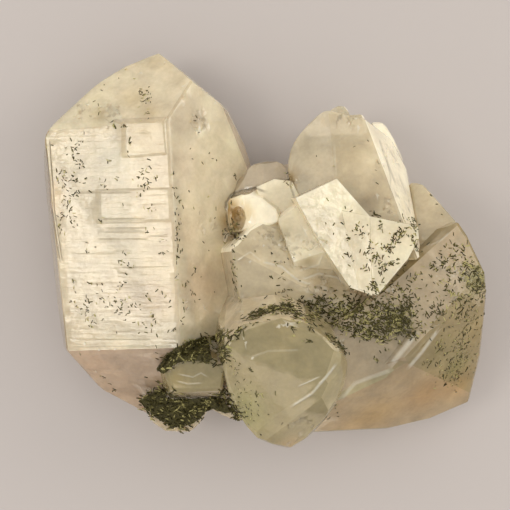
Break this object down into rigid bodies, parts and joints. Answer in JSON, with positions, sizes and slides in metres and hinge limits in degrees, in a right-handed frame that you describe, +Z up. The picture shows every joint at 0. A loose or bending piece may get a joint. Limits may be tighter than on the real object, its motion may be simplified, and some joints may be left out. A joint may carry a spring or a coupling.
{
  "type": "epidote with quartz",
  "caption": "Cluster of pale quartz crystals grown together, with dark green epidote crusts and needles, lying on its flat cut back.",
  "frame": {"origin": "centre of the bounding box, at the height of the flat cut back that the cluster rests on", "axes": "+Z up out of the cut back towards the front crystal, +Y along the long crystal towards its upper point, +X from the long crystal towards the broad crystal"},
  "size_m": [0.0731, 0.0643, 0.0314],
  "materials": {
    "quartz": "milky to clear crystal, glossy faces",
    "epidote": "dark green, glassy needles"
  },
  "bodies": {
    "root": {"quartz_cluster": "quartz", "epidote_crust_lower": "epidote", "epidote_crust_upper": "epidote", "epidote_band": "epidote"}
  },
  "joints": []
}
